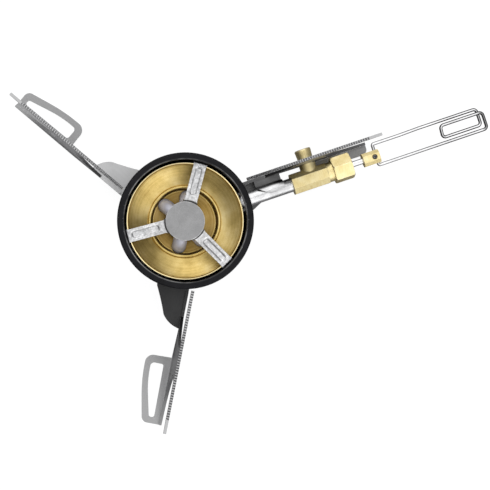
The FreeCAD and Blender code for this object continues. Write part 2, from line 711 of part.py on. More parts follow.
def spreader_arm(angle):
    """One arm: up over a step from the disc, out to the rim and down behind it."""
    half = ARM_WIDTH / 2
    step = DISC_RADIUS - 0.4
    tab_in = BOWL_RADIUS + ARM_TAB_GAP
    tab_out = tab_in + ARM_TAB_SHEET
    side = polygon([
        V(step - 3.0, -half, DISC_BOTTOM),
        V(step + 0.3, -half, DISC_BOTTOM),
        V(step + 0.3 + STEP_RUN, -half, BOWL_TOP),
        V(tab_in, -half, BOWL_TOP),
        V(tab_in, -half, BOWL_TOP - ARM_TAB),
        V(tab_out, -half, BOWL_TOP - ARM_TAB),
        V(tab_out, -half, ARM_TOP),
        V(step + STEP_RUN, -half, ARM_TOP),
        V(step, -half, DISC_TOP),
        V(step - 3.0, -half, DISC_TOP),
    ]).extrude(V(0, ARM_WIDTH, 0))
    groove_in = DISC_RADIUS + GROOVE_TO_DISC
    groove_out = BOWL_RADIUS - GROOVE_TO_RIM
    groove = Part.Face(rounded_loop([
        V(groove_in, -GROOVE_WIDTH / 2, ARM_TOP - GROOVE_DEPTH),
        V(groove_out, -GROOVE_WIDTH / 2, ARM_TOP - GROOVE_DEPTH),
        V(groove_out, GROOVE_WIDTH / 2, ARM_TOP - GROOVE_DEPTH),
        V(groove_in, GROOVE_WIDTH / 2, ARM_TOP - GROOVE_DEPTH),
    ], [GROOVE_WIDTH * 0.4] * 4)).extrude(V(0, 0, GROOVE_DEPTH))
    return turned(side.cut(groove), angle)


def flame_spreader():
    plate = disc(DISC_RADIUS, DISC_BOTTOM, DISC_TOP)
    plate = plate.makeChamfer(DISC_EDGE, [edge for edge in plate.Edges if len(edge.Vertexes) == 1])
    return plate.multiFuse([spreader_arm(angle) for angle in ARM_ANGLES]).removeSplitter()


def vaporiser_arches():
    """Two steel tubes arched over the jet, joined where they cross, their ends brazed into the block."""
    low = V(0, 0, BLOCK_TOP - SOCKET_DEPTH)
    high = V(0, 0, ARCH_Z)
    feet = arch_feet()
    outside = []
    inside = []
    for start, end in (feet[:2], feet[2:]):
        path = rounded_path([start + low, start + high, end + high, end + low], ARCH_BEND)
        outside.append(swept(path, ARCH_RADIUS))
        inside.append(swept(path, ARCH_BORE))
    return outside[0].fuse(outside[1]).cut(inside[0]).cut(inside[1])


def fuel_tube():
    end = BODY_START + TUBE_SOCKET
    tube = rod(TUBE_RADIUS, TUBE_SHOULDER, end).fuse(rod(SPIGOT_RADIUS, SPIGOT_START, TUBE_SHOULDER))
    wide = rod(TUBE_BORE, TUBE_SHOULDER + TUBE_STEP, end)
    return tube.cut(wide).cut(rod(SPIGOT_BORE, SPIGOT_START, end))


def fuel_filter():
    """Wire plug in the tube that evens the flow and catches dirt."""
    start = TUBE_SHOULDER + TUBE_STEP
    return rod(TUBE_BORE - FILTER_CLEARANCE, start, BODY_START)


def tube_clip():
    """Sheet clip that wraps the tube and is riveted to the fixed leg."""
    inner = TUBE_RADIUS + STATIC_GAP
    outer = inner + CLIP_SHEET
    length = CLIP_END - CLIP_START
    sweep = CLIP_WRAP_END - CLIP_WRAP_START
    start = FUEL_AXIS + V(CLIP_START, 0, 0)
    wrap = Part.makeCylinder(outer, length, V(0, 0, 0), V(0, 0, 1), sweep)
    wrap = wrap.cut(Part.makeCylinder(inner, length, V(0, 0, 0)))
    wrap.rotate(V(0, 0, 0), V(0, 0, 1), CLIP_WRAP_START)
    wrap.Placement = FreeCAD.Placement(start, FreeCAD.Rotation(V(1, 1, 1), 120)).multiply(wrap.Placement)
    web_z = FUEL_Z - CLIP_WEB_DROP
    web_y = FUEL_Y + inner * math.cos(math.radians(CLIP_WRAP_START))
    web = Part.makeBox(length, BLADE_INNER - web_y, CLIP_SHEET, V(CLIP_START, web_y, web_z))
    web = web.cut(rod(inner, CLIP_START, CLIP_END))
    flange_z = FIXED_PLATE_Z + SHEET + CLIP_LIFT
    flange = Part.makeBox(length, CLIP_SHEET, web_z + CLIP_SHEET - flange_z,
                          V(CLIP_START, BLADE_INNER - CLIP_SHEET, flange_z))
    clip = wrap.multiFuse([web, flange])
    taper = polygon([
        V(CLIP_START, -TUBE_RADIUS, CUP_TOP),
        V(CLIP_END - 4.0, -TUBE_RADIUS, CUP_TOP),
        V(CLIP_START, FUEL_Y + TUBE_RADIUS, CUP_TOP),
    ]).extrude(V(0, 0, -CUP_TOP))
    clip = clip.cut(taper).removeSplitter()
    for spot in rivet_spots():
        clip = clip.cut(Part.makeCylinder(RIVET_RADIUS + STATIC_GAP, CLIP_SHEET * 2,
                                          spot + V(0, BLADE_INNER - CLIP_SHEET * 2, 0), V(0, 1, 0)))
    return clip


def clip_rivets():
    rivets = []
    for spot in rivet_spots():
        inside = spot + V(0, BLADE_INNER - CLIP_SHEET, 0)
        outside = spot + V(0, BLADE_OUTER, 0)
        shank = Part.makeCylinder(RIVET_RADIUS, CLIP_SHEET + SHEET, inside, V(0, 1, 0))
        heads = [
            Part.makeCone(RIVET_HEAD_RADIUS, RIVET_RADIUS, RIVET_HEAD, inside, V(0, -1, 0)),
            Part.makeCone(RIVET_HEAD_RADIUS, RIVET_RADIUS, RIVET_HEAD, outside, V(0, 1, 0)),
        ]
        rivets.append(shank.multiFuse(heads).removeSplitter())
    return Part.makeCompound(rivets)


def chamfered_bar(width, chamfer, start, end):
    """Square bar on the fuel axis with its four long edges cut off."""
    half = width / 2
    flat = half - chamfer
    corners = [(half, flat), (flat, half), (-flat, half), (-half, flat),
               (-half, -flat), (-flat, -half), (flat, -half), (half, -flat)]
    points = [FUEL_AXIS + V(start, y, z) for y, z in corners]
    return polygon(points).extrude(V(end - start, 0, 0))


def valve_body():
    bar = chamfered_bar(BODY_WIDTH, BODY_CHAMFER, BODY_START, BODY_END)
    dome = Part.makeCone(BODY_LENGTH + BODY_WIDTH * 0.68, BODY_WIDTH * 0.68, BODY_LENGTH,
                         FUEL_AXIS + V(BODY_START, 0, 0), V(1, 0, 0))
    body = bar.common(dome)
    body = body.fuse(rod(SHOULDER_RADIUS, BODY_END, SHOULDER_END))
    body = body.fuse(rod(NECK_RADIUS, SHOULDER_END, NECK_END))
    inlet_start = V(PORT_X, FUEL_Y, FUEL_Z)
    boss = Part.makeCylinder(PORT_SPIGOT + BOSS_WALL, BLADE_INNER - FUEL_Y, inlet_start, V(0, 1, 0))
    body = body.fuse(boss)
    inlet = Part.makeCylinder(PORT_SPIGOT + STATIC_GAP, BLADE_INNER - socket_floor().y,
                              socket_floor(), V(0, 1, 0))
    drilling = Part.makeCylinder(SEAT_RADIUS, BODY_WIDTH / 2, inlet_start, V(0, 1, 0))
    cuts = [
        rod(TUBE_RADIUS + STATIC_GAP, BODY_START, BODY_START + TUBE_SOCKET),
        rod(SEAT_RADIUS, BODY_START, SEAT_END),
        rod(CHAMBER_RADIUS, SEAT_END, NECK_END),
        inlet,
        drilling,
    ]
    for cut in cuts:
        body = body.cut(cut)
    return body


def socket_floor():
    """Middle of the floor of the socket that the hose port screws into."""
    return V(PORT_X, BLADE_OUTER - PORT_DEPTH - GASKET_SHEET, FUEL_Z)


def hose_port():
    """Fuel inlet that the hose's plug goes into; it clamps the fixed leg to the valve's boss."""
    across = V(0, 1, 0)
    shoulder = V(PORT_X, BLADE_OUTER, FUEL_Z)
    length = PORT_END - BLADE_OUTER
    barrel = Part.makeCone(PORT_ROOT_RADIUS, PORT_RADIUS, length - PORT_CHAMFER, shoulder, across)
    nose = Part.makeCone(PORT_RADIUS, PORT_RADIUS - PORT_CHAMFER, PORT_CHAMFER,
                         shoulder + across * (length - PORT_CHAMFER), across)
    screw = Part.makeCylinder(PORT_SPIGOT, PORT_DEPTH, shoulder - across * PORT_DEPTH, across)
    port = barrel.multiFuse([nose, screw]).removeSplitter()
    bore = Part.makeCylinder(PORT_BORE, PORT_BORE_LENGTH,
                             shoulder + across * (length - PORT_BORE_LENGTH), across)
    pocket = Part.makeCylinder(STRAINER_RADIUS + STATIC_GAP, STRAINER_LENGTH, strainer_seat(), across)
    drilling = Part.makeCylinder(SEAT_RADIUS, length + PORT_DEPTH, shoulder - across * PORT_DEPTH, across)
    return port.cut(bore).cut(pocket).cut(drilling)


def strainer_seat():
    return V(PORT_X, PORT_END - PORT_BORE_LENGTH - STRAINER_LENGTH, FUEL_Z)


def port_gasket():
    outer = Part.makeCylinder(PORT_SPIGOT, GASKET_SHEET, socket_floor(), V(0, 1, 0))
    return outer.cut(Part.makeCylinder(SEAT_RADIUS, GASKET_SHEET, socket_floor(), V(0, 1, 0)))


def inlet_strainer():
    return Part.makeCylinder(STRAINER_RADIUS, STRAINER_LENGTH, strainer_seat(), V(0, 1, 0))


def gland_nut():
    prism = hexagon(NUT_FLATS, NUT_LENGTH, V(0, 0, 0), NUT_TURN)
    corner_radius = NUT_FLATS / math.sqrt(3)
    bevel = Part.makeCone(corner_radius * 0.93 + NUT_LENGTH, corner_radius * 0.93, NUT_LENGTH)
    start_bevel = Part.makeCone(corner_radius * 0.93, corner_radius * 0.93 + NUT_LENGTH, NUT_LENGTH)
    prism = prism.common(bevel).common(start_bevel)
    prism.Placement = FreeCAD.Placement(FUEL_AXIS + V(NUT_START, 0, 0), FreeCAD.Rotation(V(0, 1, 0), 90))
    nut = prism.cut(rod(NECK_RADIUS + STATIC_GAP, NUT_START, NUT_END - NUT_WALL))
    return nut.cut(rod(SPINDLE_RADIUS + RUNNING_GAP, NUT_START, NUT_END))


def packing_washer():
    washer = rod(NECK_RADIUS, NECK_END, NECK_END + PACKING_WASHER)
    return washer.cut(rod(SPINDLE_RADIUS + RUNNING_GAP, NECK_END, NUT_END))


def gland_packing():
    """Graphite ring squeezed round the spindle by the nut."""
    packing = rod(NECK_RADIUS, NECK_END + PACKING_WASHER, NUT_END - NUT_WALL)
    return packing.cut(rod(SPINDLE_RADIUS + RUNNING_GAP, NECK_END, NUT_END))


def spindle_o_ring():
    radius = (SPINDLE_RADIUS + CHAMBER_RADIUS) / 2
    section = (CHAMBER_RADIUS - SPINDLE_RADIUS) / 2 - RUNNING_GAP
    return Part.makeTorus(radius, section, FUEL_AXIS + V(O_RING_X, 0, 0), V(1, 0, 0))


def valve_spindle():
    """Needle, threaded part, collar behind the O-ring and plain neck in one piece."""
    needle_start = SEAT_END - NEEDLE_LENGTH / 2
    needle = Part.makeCone(NEEDLE_TIP, SPINDLE_RADIUS, NEEDLE_LENGTH,
                           FUEL_AXIS + V(needle_start, 0, 0), V(1, 0, 0))
    parts = [
        rod(SPINDLE_RADIUS, needle_start + NEEDLE_LENGTH, GRIP_END - GRIP_END_WALL),
        rod(CHAMBER_RADIUS - RUNNING_GAP, THREAD_START, THREAD_END),
        rod(CHAMBER_RADIUS - RUNNING_GAP, COLLAR_X, COLLAR_X + COLLAR_LENGTH),
    ]
    spindle = needle.multiFuse(parts).removeSplitter()
    return spindle.cut(pin_hole())


def pin_hole():
    return Part.makeCylinder(PIN_RADIUS + STATIC_GAP, GRIP_WIDTH, FUEL_AXIS + V(PIN_X, 0, -GRIP_WIDTH / 2))


def grip_block():
    """Brass block on the spindle's end, drilled for the pin and the wire's ends."""
    block = chamfered_bar(GRIP_WIDTH, GRIP_CHAMFER, GRIP_START, GRIP_END)
    half = GRIP_WIDTH / 2
    centre = FUEL_AXIS + V(HINGE_X, 0, 0)
    sink = PIN_RADIUS + PIN_SINK
    cuts = [
        rod(SPINDLE_RADIUS + STATIC_GAP, GRIP_START, GRIP_END - GRIP_END_WALL),
        pin_hole(),
        Part.makeCone(sink, PIN_RADIUS, PIN_SINK, FUEL_AXIS + V(PIN_X, 0, half), V(0, 0, -1)),
        Part.makeCone(sink, PIN_RADIUS, PIN_SINK, FUEL_AXIS + V(PIN_X, 0, -half), V(0, 0, 1)),
    ]
    for side in (-1, 1):
        start = centre + V(0, side * half, 0)
        depth = PEG_DEPTH + RUNNING_GAP
        cuts.append(Part.makeCylinder(WIRE_RADIUS + RUNNING_GAP, depth, start, V(0, -side, 0)))
    for cut in cuts:
        block = block.cut(cut)
    return block


def roll_pin():
    length = GRIP_WIDTH + 2 * PIN_PROUD
    base = FUEL_AXIS + V(PIN_X, 0, -length / 2)
    pin = Part.makeCylinder(PIN_RADIUS, length, base)
    pin = pin.cut(Part.makeCylinder(PIN_BORE, length, base))
    slit = Part.makeBox(PIN_RADIUS, PIN_SLIT, length, base + V(0, -PIN_SLIT / 2, 0))
    return pin.cut(slit)


def wire_path():
    """Handle wire: out of one side of the block, a turn and a half at the tip, and back."""
    low = 0.0
    high = COIL_LIFT
    peg = GRIP_WIDTH / 2 - PEG_DEPTH
    last_cross = WIRE_LENGTH - WIRE_RADIUS
    first_cross = last_cross - COIL_LIFT
    coil_start = WIRE_LENGTH - COIL_LENGTH
    spots = [
        (0, peg, low),
        (0, WIRE_UPPER, low),
        (WIRE_WIDEN, WIRE_UPPER, low),
        ((WIRE_WIDEN + coil_start) / 2, WIRE_UPPER_TIP, low),
        (first_cross, WIRE_UPPER_TIP, low),
        (first_cross, -COIL_LOWER, low),
        (coil_start, -COIL_LOWER, low),
        (coil_start, COIL_UPPER, high),
        (last_cross, COIL_UPPER, high),
        (last_cross, -WIRE_LOWER, high),
        (0, -WIRE_LOWER, low),
        (0, -peg, low),
    ]
    points = [FUEL_AXIS + V(HINGE_X + x, y, z) for x, y, z in spots]
    edges = []
    last = points[0]
    for i in range(1, len(points) - 1):
        radius = WIRE_CORNER
        if i in (1, len(points) - 2):
            radius = PEG_DEPTH * 0.6
        start, middle, end = corner(points[i - 1], points[i], points[i + 1], radius)
        edges.append(Part.makeLine(last, start))
        edges.append(Part.Arc(start, middle, end).toShape())
        last = end
    edges.append(Part.makeLine(last, points[-1]))
    return Part.Wire(edges)


def wire_handle():
    return swept(wire_path(), WIRE_RADIUS)


def stove():
    """Every piece of the stove by name, round the burner's axis."""
    return {
        "leg_fixed": fixed_leg(),
        "leg_left": left_leg(),
        "leg_right": right_leg(),
        "pivot_bolt": pivot_bolt(),
        "pivot_spring": pivot_spring(),
        "pivot_spacers": pivot_spacers(),
        "burner_cup": burner_cup(),
        "priming_pad": priming_pad(),
        "vaporiser_block": vaporiser_block(),
        "jet_nozzle": jet_nozzle(),
        "mixing_tube": mixing_tube(),
        "bowl_ring_nut": bowl_ring_nut(),
        "burner_bowl": burner_bowl(),
        "flame_spreader": flame_spreader(),
        "vaporiser_arches": vaporiser_arches(),
        "fuel_tube": fuel_tube(),
        "fuel_filter": fuel_filter(),
        "tube_clip": tube_clip(),
        "clip_rivets": clip_rivets(),
        "valve_body": valve_body(),
        "hose_port": hose_port(),
        "port_gasket": port_gasket(),
        "inlet_strainer": inlet_strainer(),
        "gland_nut": gland_nut(),
        "packing_washer": packing_washer(),
        "gland_packing": gland_packing(),
        "spindle_o_ring": spindle_o_ring(),
        "valve_spindle": valve_spindle(),
        "grip_block": grip_block(),
        "roll_pin": roll_pin(),
        "wire_handle": wire_handle(),
    }


def footprint_middle(shapes):
    """Middle of the whole stove's plan, where the origin goes."""
    box = FreeCAD.BoundBox()
    for shape in shapes:
        box.add(shape.optimalBoundingBox(False, False))
    return V((box.XMin + box.XMax) / 2, (box.YMin + box.YMax) / 2, 0)


pieces = stove()
BURNER = footprint_middle(pieces.values()) * -1

os.makedirs("parts", exist_ok=True)
for name, shape in pieces.items():
    shape.translate(BURNER)
    shape.exportStep("parts/" + name + ".step")
    print(name, len(shape.Solids), "solids", "valid" if shape.isValid() else "NOT VALID",
          round(shape.Volume, 1))
print("burner axis at", round(BURNER.x, 3), round(BURNER.y, 3), "fuel axis height", FUEL_Z)
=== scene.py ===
"""Looks of the multi-fuel camping stove, in metres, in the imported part's own frame."""
import json
import math

import bmesh
import bpy
from mathutils import Matrix, Vector

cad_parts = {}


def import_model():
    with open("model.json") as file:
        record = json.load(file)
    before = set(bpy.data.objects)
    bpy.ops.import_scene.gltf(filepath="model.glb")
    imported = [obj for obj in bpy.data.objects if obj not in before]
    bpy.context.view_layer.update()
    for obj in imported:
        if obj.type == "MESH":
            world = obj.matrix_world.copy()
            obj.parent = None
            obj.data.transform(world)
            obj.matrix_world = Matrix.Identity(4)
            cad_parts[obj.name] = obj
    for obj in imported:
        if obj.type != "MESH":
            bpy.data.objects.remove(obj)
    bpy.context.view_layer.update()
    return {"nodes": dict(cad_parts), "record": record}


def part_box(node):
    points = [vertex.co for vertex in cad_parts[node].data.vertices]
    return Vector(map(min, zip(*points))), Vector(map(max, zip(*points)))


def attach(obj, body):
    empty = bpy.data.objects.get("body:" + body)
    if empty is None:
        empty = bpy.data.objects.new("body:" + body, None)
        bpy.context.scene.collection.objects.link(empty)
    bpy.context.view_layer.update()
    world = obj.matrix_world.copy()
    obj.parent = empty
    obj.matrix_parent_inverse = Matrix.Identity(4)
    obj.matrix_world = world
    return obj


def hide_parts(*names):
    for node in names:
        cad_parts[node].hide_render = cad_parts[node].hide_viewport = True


MM = 0.001

# Legs: angle about the burner, and tones of the plate near the burner, the foot, the upright web
# and the rail's end near the burner. These tones are painted light and shade: lit and shaded
# copies of one steel, one per leg, darkest for the plates in the cup's shade
LEGS = {
    "leg_fixed": {"turn": 0.0, "plate": 0.11, "foot": 0.24, "web": 0.24, "rail_start": 0.10},
    "leg_left": {"turn": 121.0, "plate": 0.44, "foot": 0.29, "web": 0.80, "rail_start": 0.16},
    "leg_right": {"turn": -120.0, "plate": 0.045, "foot": 0.33, "web": 0.46, "rail_start": 0.50},
}
RAIL_TONE = 0.43

# Distances from the burner's axis over which a leg's painted light and shade near the burner
# give way to its other tones
PLATE_FADE = (58.0 * MM, 66.0 * MM)
RAIL_FADE = (46.0 * MM, 64.0 * MM)

# Factors on a web's tone, which fall from its fold upwards, and what is added to them further up:
# a painted highlight along the fold, painted shade above it, lighter again towards the rail
FOLD_FACTORS = (1.6, 0.55)
FOLD_HEIGHTS = (3.0 * MM, 8.0 * MM)
ADDED_FACTORS = (0.0, 0.45)
ADDED_HEIGHTS = (12.0 * MM, 30.0 * MM)

# Depths under a rail's top over which the web turns into the rail, and the painted shade between
# the rail's teeth thins out
RAIL_DEPTHS = (1.1 * MM, 0.9 * MM)
TOOTH_SHADE_DEPTHS = (0.5 * MM, 0.1 * MM)
TOOTH_SHADE_SHARE = 0.85

# Wire handle: length of its coil, and stretch of the coil over which its end bar gets a painted
# dark reflection
COIL_LENGTH = 20.0 * MM
COIL_BAR = (16.0 * MM, 18.0 * MM)

# Clip: distances inside the tube's side over which its painted shade comes in
CLIP_FADE = (1.2 * MM, 0.2 * MM)

# Bowl: radius of its well, and distances inside the well's and the rim's radius over which the
# painted shade of the well ends and the painted highlight of the rim begins
WELL_RADIUS = 17.4 * MM
WELL_FADE = (1.4 * MM, 0.4 * MM)
RIM_FADE = (0.9 * MM, 0.5 * MM)

# Cup: distance of its painted highlight line from the bowl's rim, and depths under its top over
# which the line comes in
RIM_HIGHLIGHT_LINE = 1.3 * MM
RIM_HIGHLIGHT_DEPTHS = (1.2 * MM, 0.6 * MM)

# Painted shadow and highlight lines: distances from the middle where they are full
# and where they end
STEP_LINE_HALVES = (0.15 * MM, 0.45 * MM)
WELL_LINE_HALVES = (0.05 * MM, 0.40 * MM)
RIM_HIGHLIGHT_HALVES = (0.10 * MM, 0.45 * MM)

# Band that most values of a noise lie in, and blue of the greys beside their red
NOISE_BAND = (0.3, 0.7)
GREY_BLUE = 1.01

# Colours, and stops of the colour ramps
WHITE = (1.0, 1.0, 1.0)
# Painted shade between a rail's teeth and painted shadow line at the spreader's step
PAINTED_SHADE = (0.05, 0.05, 0.055)
RUBBED_BRASS = (0.95, 0.84, 0.55)
# Painted highlight on the bowl's rim, painted shade in its well and a painted shadow line at the
# well's edge
RIM_HIGHLIGHT_BRASS = (0.93, 0.80, 0.48)
WELL_SHADE = (0.42, 0.37, 0.30)
WELL_SHADOW_LINE = (0.16, 0.10, 0.04)
SPUN_BRASS = (
    (0.38, (0.36, 0.245, 0.07)),
    (0.50, (0.64, 0.475, 0.17)),
    (0.63, (0.86, 0.70, 0.35)),
)
MACHINED_BRASS = (
    (0.3, (0.62, 0.48, 0.20)),
    (0.5, (0.82, 0.69, 0.36)),
    (0.7, (0.95, 0.86, 0.56)),
)
COATING = (
    (0.35, (0.004, 0.004, 0.005)),
    (0.75, (0.012, 0.012, 0.015)),
)
FELT = (
    (0.3, (0.46, 0.43, 0.37)),
    (0.7, (0.72, 0.69, 0.61)),
)

# Softly rounded edges: widths, smallest angles of the edges that are rounded, and shared settings
LEG_EDGE = 0.10 * MM
FITTING_EDGE = 0.06 * MM
BRASS_EDGE = 0.12 * MM
COATING_EDGE = 0.22 * MM
SPREADER_EDGE = 0.15 * MM
EDGE_ANGLE = 32.0
SPREADER_EDGE_ANGLE = 50.0
EDGE_SEGMENTS = 2
WELD_GAP = 0.004 * MM
NORMAL_WEIGHT = 90

# Camera: nearly straight above, as the photograph was taken
FRAME_PIXELS = 490
CAMERA_ROLL = 18.72
CAMERA_TILT_X = -1.15
CAMERA_TILT_Y = 5.15
CAMERA_DISTANCE = 778.0 * MM
CAMERA_SHIFT = Vector((-34.75, 11.8, 0.0)) * MM
CAMERA_NEAR = 10.0 * MM
FOCAL_PIXELS = 1410.2
SENSOR_WIDTH = 36.0

# Soft boxes in the sky: direction as the camera sees it (right, up, towards the camera),
# cosines of the angles where the glow starts and where it is full, and its strength
SOFT_BOXES = (
    ((0.0, 0.0, 1.0), 0.62, 0.96, 0.72),
    ((-0.13, 0.73, 0.66), 0.66, 0.97, 1.10),
    ((0.52, -0.46, 0.72), 0.74, 0.97, 0.75),
    ((-0.86, 0.30, 0.25), 0.80, 0.98, 0.20),
    ((0.77, -0.54, 0.33), 0.80, 0.98, 0.55),
    ((-0.17, 0.94, 0.30), 0.84, 0.98, 0.60),
    ((0.30, -0.90, 0.20), 0.80, 0.98, 0.80),
)
SKY_BASE = 0.34
SKY_SEEN = 0.88

# Floor: its size, its glow and tone where the camera sees it, and its tone for other rays
FLOOR_SIZE = 6.0
FLOOR_SEEN = 0.93
FLOOR_PAPER = 0.12
FLOOR_BOUNCE = 0.22

# Flame spreader: pressed sheet with a disc and three arms hooked over the bowl's rim
DISC_RADIUS = 10.3 * MM
DISC_DROP = 1.4 * MM
DISC_FADE = (0.3 * MM, 0.0)
ARM_ANGLES = (56.4, 176.4, 296.4)
ARM_HALF = 3.35 * MM
ARM_REACH = 31.8 * MM
ARM_BEND = 1.0 * MM
ARM_TAB = 2.9 * MM
ARM_SHEET = 0.8 * MM

# Step up from the disc with the painted shadow line on it, and flares of an arm's sides at its
# root and towards its tab
STEP_RUN = 0.9 * MM
STEP_LINE = 0.35 * MM
ROOT_FLARE = 0.5 * MM
ROOT_FLARE_RUN = 1.4 * MM
END_FLARE = 0.25 * MM
END_FLARE_LENGTH = 2.5 * MM
END_FLARE_RUN = 1.5 * MM

# Channel pressed into each arm, with a raised lip round it
CHANNEL_START = 14.2 * MM
CHANNEL_END = 28.8 * MM
CHANNEL_HALF = 1.75 * MM
CHANNEL_DEPTH = 0.5 * MM
CHANNEL_CORNER = 1.1 * MM
CHANNEL_WALL = 0.55 * MM
LIP_HEIGHT = 0.16 * MM
LIP_WIDTH = 0.42 * MM

# Mesh of the spreader: circles as shares of the disc's radius, rows and columns of an arm, and
# number of its first rows that still follow the disc's curve
DISC_CIRCLES = (0.3, 0.6, 0.85, 0.97, 1.0)
ARM_ROWS = 80
ARM_COLUMNS = 24
CURVED_ROWS = 12


class Nodes:
    """A node tree built a node at a time. A value is a number, a colour or a node's output."""

    def __init__(self, tree):
        self.tree = tree

    def add(self, kind, **settings):
        node = self.tree.nodes.new(kind)
        for key, value in settings.items():
            setattr(node, key, value)
        return node

    def link(self, source, target):
        self.tree.links.new(source, target)

    def put(self, socket, value):
        """Set a socket to a number or a colour, or link it to an output."""
        if isinstance(value, tuple):
            socket.default_value = (*value, 1.0)
        elif isinstance(value, (int, float)):
            socket.default_value = value
        else:
            self.link(value, socket)

    def fill(self, node, **values):
        """Give a node's inputs their values by name, with _ for a space."""
        for key, value in values.items():
            self.put(node.inputs[key.replace("_", " ")], value)

    def math(self, operation, first, second=0.0):
        node = self.add("ShaderNodeMath", operation=operation)
        self.put(node.inputs[0], first)
        self.put(node.inputs[1], second)
        return node.outputs[0]

    def product(self, first, *others):
        for value in others:
            first = self.math("MULTIPLY", first, value)
        return first

    def blend(self, first, second, share):
        """Weighted sum of two values."""
        return self.math("ADD", self.product(first, share), self.product(second, 1.0 - share))

    def span(self, value, low, high, start, end, **settings):
        """Map start..end of a value to low..high."""
        node = self.add("ShaderNodeMapRange", **settings)
        self.fill(node, Value=value, From_Min=start, From_Max=end, To_Min=low, To_Max=high)
        return node.outputs["Result"]

    def rise(self, value, start, end):
        """0 up to start, 1 from end."""
        return self.span(value, 0.0, 1.0, start, end)

    def fall(self, value, start, end):
        """1 up to start, 0 from end."""
        return self.span(value, 1.0, 0.0, start, end)

    def near(self, value, middle, full, end):
        """1 up to the distance `full` from a middle value, 0 from the distance `end`."""
        return self.fall(self.math("ABSOLUTE", self.math("SUBTRACT", value, middle)), full, end)

    def vary(self, noise, low, high):
        """Spread a noise's band over low..high."""
        return self.span(noise, low, high, *NOISE_BAND)

    def mix(self, factor, first, second, blend="MIX"):
        node = self.add("ShaderNodeMix", data_type="RGBA", blend_type=blend)
        self.put(node.inputs[0], factor)
        self.put(node.inputs[6], first)
        self.put(node.inputs[7], second)
        return node.outputs[2]

    def ramp(self, value, stops):
        node = self.add("ShaderNodeValToRGB")
        elements = node.color_ramp.elements
        while len(elements) < len(stops):
            elements.new(0.5)
        for element, (position, colour) in zip(elements, stops):
            element.position = position
            element.color = (*colour, 1.0)
        self.link(value, node.inputs["Fac"])
        return node.outputs["Color"]

    def greys(self, noise, dark, light, blue=GREY_BLUE):
        """Spread a noise's band over the greys between two tones."""
        tones = (grey(dark, blue), grey(light, blue))
        return self.ramp(noise, tuple(zip(NOISE_BAND, tones)))


class Shader(Nodes):
    """A material with one principled surface."""

    def __init__(self, name):
        self.material = bpy.data.materials.new(name)
        self.material.use_nodes = True
        super().__init__(self.material.node_tree)

    def surface(self, **values):
        """Give the surface's inputs their values by name, and return the material."""
        self.fill(self.tree.nodes["Principled BSDF"], **values)
        return self.material

    def place(self, scale=(1.0, 1.0, 1.0), turn=0.0, origin=(0.0, 0.0, 0.0)):
        """Object coordinates moved to `origin`, turned about Z and scaled."""
        coords = self.add("ShaderNodeTexCoord")
        shift = self.add("ShaderNodeVectorMath", operation="SUBTRACT")
        shift.inputs[1].default_value = origin
        spin = self.add("ShaderNodeMapping")
        spin.inputs["Rotation"].default_value = (0.0, 0.0, math.radians(turn))
        stretch = self.add("ShaderNodeVectorMath", operation="MULTIPLY")
        stretch.inputs[1].default_value = scale
        self.link(coords.outputs["Object"], shift.inputs[0])
        self.link(shift.outputs[0], spin.inputs["Vector"])
        self.link(spin.outputs[0], stretch.inputs[0])
        return stretch.outputs[0]

    def flat_place(self):
        """Object coordinates from the burner's axis, without their height."""
        return self.place(scale=(1.0, 1.0, 0.0), origin=BURNER)

    def radius(self):
        """Distance from the burner's axis."""
        node = self.add("ShaderNodeVectorMath", operation="LENGTH")
        self.link(self.flat_place(), node.inputs[0])
        return node.outputs["Value"]

    def along(self, axis):
        """One object coordinate."""
        node = self.add("ShaderNodeSeparateXYZ")
        self.link(self.place(), node.inputs[0])
        return node.outputs[axis]

    def facing_up(self, low=0.35, high=0.85):
        """1 on faces that are level at rest, 0 on upright ones."""
        coords = self.add("ShaderNodeTexCoord")
        split = self.add("ShaderNodeSeparateXYZ")
        self.link(coords.outputs["Normal"], split.inputs[0])
        return self.rise(self.math("ABSOLUTE", split.outputs["Z"]), low, high)

    def noise(self, place, scale=1.0, detail=4.0, rough=0.6):
        node = self.add("ShaderNodeTexNoise")
        self.fill(node, Vector=place, Scale=scale, Detail=detail, Roughness=rough)
        return node.outputs["Fac"]

    def lines(self, value, scale, detail, rough):
        """Noise that changes with one value only, such as a radius."""
        node = self.add("ShaderNodeTexNoise", noise_dimensions="1D")
        self.fill(node, W=value, Scale=scale, Detail=detail, Roughness=rough)
        return node.outputs["Fac"]

    def bump(self, height, strength, distance):
        node = self.add("ShaderNodeBump")
        self.fill(node, Height=height, Strength=strength, Distance=distance)
        return node.outputs["Normal"]


def grey(value, blue=GREY_BLUE):
    return (value, value, value * blue)


def before(edge, gaps):
    """Places short of an edge by each of two gaps."""
    return edge - gaps[0], edge - gaps[1]


def web_colour(shader, grain, tone):
    """Upright face of a leg, with streaks along it, a painted highlight along its fold and painted
    shade above that.
    """
    height = shader.along("Z")
    fold = shader.span(height, *FOLD_FACTORS, *FOLD_HEIGHTS)
    added = shader.span(height, *ADDED_FACTORS, *ADDED_HEIGHTS)
    streaks = shader.span(grain, low=0.8, high=1.2, start=0.35, end=0.65)
    factor = shader.product(shader.math("ADD", fold, added), streaks)
    return shader.mix(1.0, grey(tone), factor, "MULTIPLY")


